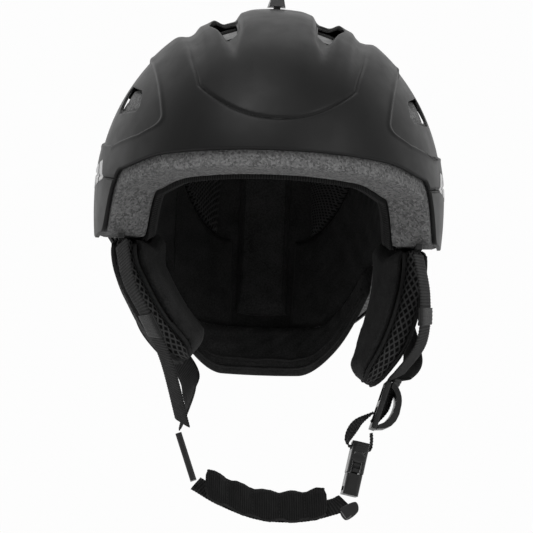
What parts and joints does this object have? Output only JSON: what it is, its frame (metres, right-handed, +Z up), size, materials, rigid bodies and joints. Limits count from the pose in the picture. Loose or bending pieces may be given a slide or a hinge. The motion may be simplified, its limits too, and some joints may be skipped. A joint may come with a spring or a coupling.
{
  "type": "ski helmet",
  "caption": "Hard-shell ski helmet with foam liner, soft ear pads, sliding crown vent shutter, rear fit dial, goggle clip and buckled chin strap.",
  "frame": {"origin": "middle of the head opening at the height of the shell's brow edge, where a head holds the helmet", "axes": "+Z up towards the crown, -Y towards the face, +X towards the wearer's left"},
  "size_m": [0.226, 0.2917, 0.3374],
  "materials": {
    "shell": "soft-touch matte black",
    "foam": "grey-black speckled foam",
    "fleece": "brushed black fleece",
    "mesh": "black spacer mesh",
    "webbing": "cross-ribbed black webbing",
    "hardware": "satin black moulded plastic",
    "plastic": "matte black moulded plastic",
    "grey_plastic": "grey moulded plastic",
    "metal": "plain steel"
  },
  "bodies": {
    "helmet": {"outer_shell": "shell", "cheek_cover_left": "shell", "cheek_cover_right": "shell", "foam_liner": "foam", "brow_pad": "fleece", "crown_strip": "fleece", "crown_mesh_left": "mesh", "crown_mesh_right": "mesh", "side_liner_left": "fleece", "side_liner_right": "fleece", "neck_roll": "fleece", "ear_pad_left": "fleece", "ear_pad_right": "fleece", "ear_pad_back_left": "mesh", "ear_pad_back_right": "mesh", "front_strap_left": "webbing", "front_strap_right": "webbing", "rear_strap_left": "webbing", "rear_strap_right": "webbing", "strap_loop_left": "webbing", "strap_loop_right": "webbing", "strap_anchor_front_left": "hardware", "strap_anchor_front_right": "hardware", "strap_anchor_rear_left": "hardware", "strap_anchor_rear_right": "hardware", "divider_left": "hardware", "divider_cover_left": "hardware", "buckle_socket": "hardware", "buckle_strap": "webbing", "dial_housing": "plastic", "goggle_clip_base": "plastic", "goggle_clip_pin": "metal"},
    "vent_slider": {"vent_shutter": "plastic", "slider_knob": "plastic"},
    "dial": {"fit_dial": "grey_plastic"},
    "band_left": {"fit_band_left": "plastic"},
    "band_right": {"fit_band_right": "plastic"},
    "chin": {"divider_right": "hardware", "chin_strap": "webbing", "chin_pad": "fleece", "strap_tail": "webbing", "buckle_plug": "hardware"},
    "arm_front": {"buckle_arm_front": "hardware"},
    "arm_rear": {"buckle_arm_rear": "hardware"},
    "goggle_lever": {"goggle_clip_lever": "plastic"}
  },
  "joints": [
    {"name": "vent_slide", "type": "hinge", "parent": "helmet", "child": "vent_slider", "pos_m": [0, 0, -0.039], "axis": [-1, 0, 0], "range_deg": [0, 4.4]},
    {"name": "fit_dial_turn", "type": "hinge", "parent": "helmet", "child": "dial", "pos_m": [0, 0.11, -0.0965], "axis": [0, 1, 0], "range_deg": [0, 114]},
    {"name": "fit_band_left_slide", "type": "slide", "parent": "helmet", "child": "band_left", "axis": [1, 0, 0], "range_m": [0, 0.008]},
    {"name": "fit_band_right_slide", "type": "slide", "parent": "helmet", "child": "band_right", "axis": [-1, 0, 0], "range_m": [0, 0.008]},
    {"name": "chin_strap_swing", "type": "hinge", "parent": "helmet", "child": "chin", "pos_m": [-0.05, -0.01, -0.1566], "axis": [0, 1, 0], "range_deg": [0, 75]},
    {"name": "buckle_arm_front_press", "type": "hinge", "parent": "chin", "child": "arm_front", "pos_m": [0.05962, -0.018, -0.18196], "axis": [-0.9816, 0, 0.1908], "range_deg": [0, 8], "stiffness_Nm_per_rad": 0.3},
    {"name": "buckle_arm_rear_press", "type": "hinge", "parent": "chin", "child": "arm_rear", "pos_m": [0.05962, -0.002, -0.18196], "axis": [0.9816, 0, -0.1908], "range_deg": [0, 8], "stiffness_Nm_per_rad": 0.3},
    {"name": "goggle_lever_lift", "type": "hinge", "parent": "helmet", "child": "goggle_lever", "pos_m": [0, 0.15055, -0.03026], "axis": [1, 0, 0], "range_deg": [0, 70]}
  ],
  "couplings": [
    {"joint": "fit_band_left_slide", "follows": "fit_dial_turn", "m_per_rad": 0.004},
    {"joint": "fit_band_right_slide", "follows": "fit_dial_turn", "m_per_rad": 0.004}
  ]
}
